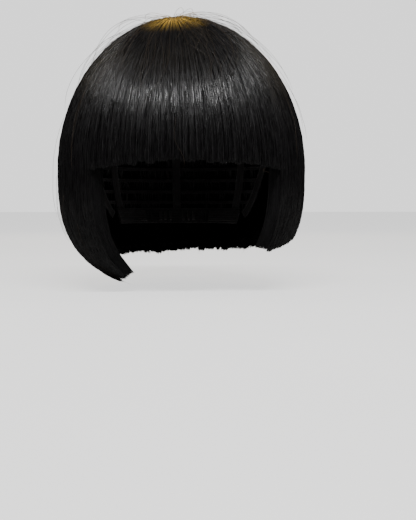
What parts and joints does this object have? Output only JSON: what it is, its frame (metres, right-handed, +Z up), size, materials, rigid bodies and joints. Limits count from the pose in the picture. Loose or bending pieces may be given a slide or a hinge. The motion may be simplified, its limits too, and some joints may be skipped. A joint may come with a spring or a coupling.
{
  "type": "costume wig",
  "caption": "Chin-length straight bob wig with a blunt full fringe, on a sewn stretch cap with ear tabs, weft rows and adjuster straps.",
  "frame": {"origin": "centre of the head that wears it, at the hatband, where the head holds the wig", "axes": "+Z up through the crown, -Y towards the face, +X towards the wearer's left ear"},
  "size_m": [0.196, 0.2279, 0.2025],
  "materials": {
    "hair": "gloss",
    "weft": "satin",
    "net": "matte",
    "patch": "matte",
    "elastic": "matte",
    "webbing": "matte",
    "hook": "gloss",
    "stay": "matte"
  },
  "bodies": {
    "cap": {"back_weft_1": "weft", "back_weft_2": "weft", "back_weft_3": "weft", "back_weft_4": "weft", "back_weft_5": "weft", "back_weft_6": "weft", "back_weft_7": "weft", "back_weft_8": "weft", "crown_hair": "hair", "crown_net": "net", "crown_patch": "patch", "crown_weft_1": "weft", "crown_weft_2": "weft", "crown_weft_3": "weft", "crown_weft_4": "weft", "crown_weft_5": "weft", "crown_weft_6": "weft", "front_band": "elastic", "left_side_binding": "elastic", "left_strap_loops": "webbing", "nape_band": "elastic", "rib_ribbon_1": "webbing", "rib_ribbon_2": "webbing", "rib_ribbon_3": "webbing", "rib_ribbon_4": "webbing", "rib_ribbon_5": "webbing", "rib_ribbon_6": "webbing", "rib_ribbon_7": "webbing", "rib_ribbon_8": "webbing", "right_side_binding": "elastic", "right_strap_loops": "webbing"},
    "fringe": {"fringe_hair": "hair"},
    "left_side": {"left_side_hair": "hair"},
    "right_side": {"right_side_hair": "hair"},
    "left_back": {"left_back_hair": "hair"},
    "right_back": {"right_back_hair": "hair"},
    "left_ear_tab": {"left_ear_tab": "elastic", "left_ear_tab_stay": "stay"},
    "right_ear_tab": {"right_ear_tab": "elastic", "right_ear_tab_stay": "stay"},
    "left_strap": {"left_adjuster_strap": "elastic", "left_strap_hook": "hook"},
    "right_strap": {"right_adjuster_strap": "elastic", "right_strap_hook": "hook"}
  },
  "joints": [
    {"name": "fringe_lift", "type": "hinge", "parent": "cap", "child": "fringe", "pos_m": [0, -0.09963, 0.03], "axis": [-1, 0, 0], "range_deg": [0, 40], "stiffness_Nm_per_rad": 0.01},
    {"name": "left_side_lift", "type": "hinge", "parent": "cap", "child": "left_side", "pos_m": [0.08685, -0.01925, 0.03], "axis": [-0.2164, -0.9763, 0], "range_deg": [0, 30], "stiffness_Nm_per_rad": 0.02},
    {"name": "right_side_lift", "type": "hinge", "parent": "cap", "child": "right_side", "pos_m": [-0.08685, -0.01925, 0.03], "axis": [-0.2164, 0.9763, 0], "range_deg": [0, 30], "stiffness_Nm_per_rad": 0.02},
    {"name": "left_back_lift", "type": "hinge", "parent": "cap", "child": "left_back", "pos_m": [0.05739, 0.08508, 0.03], "axis": [0.829, -0.5592, 0], "range_deg": [0, 25], "stiffness_Nm_per_rad": 0.02},
    {"name": "right_back_lift", "type": "hinge", "parent": "cap", "child": "right_back", "pos_m": [-0.05739, 0.08508, 0.03], "axis": [0.829, 0.5592, 0], "range_deg": [0, 25], "stiffness_Nm_per_rad": 0.02},
    {"name": "left_ear_tab_bend", "type": "hinge", "parent": "cap", "child": "left_ear_tab", "pos_m": [0.0673, -0.038, 0.0172], "axis": [0.3447, 0.9387, 0], "range_deg": [-3, 15], "stiffness_Nm_per_rad": 0.004},
    {"name": "right_ear_tab_bend", "type": "hinge", "parent": "cap", "child": "right_ear_tab", "pos_m": [-0.0673, -0.038, 0.0172], "axis": [0.3447, -0.9387, 0], "range_deg": [-3, 15], "stiffness_Nm_per_rad": 0.004},
    {"name": "left_strap_swing", "type": "hinge", "parent": "cap", "child": "left_strap", "pos_m": [0.0506, 0.0472, -0.056], "axis": [0, 0, 1], "range_deg": [0, 40]},
    {"name": "right_strap_swing", "type": "hinge", "parent": "cap", "child": "right_strap", "pos_m": [-0.0506, 0.0472, -0.056], "axis": [0, 0, -1], "range_deg": [0, 40]}
  ]
}
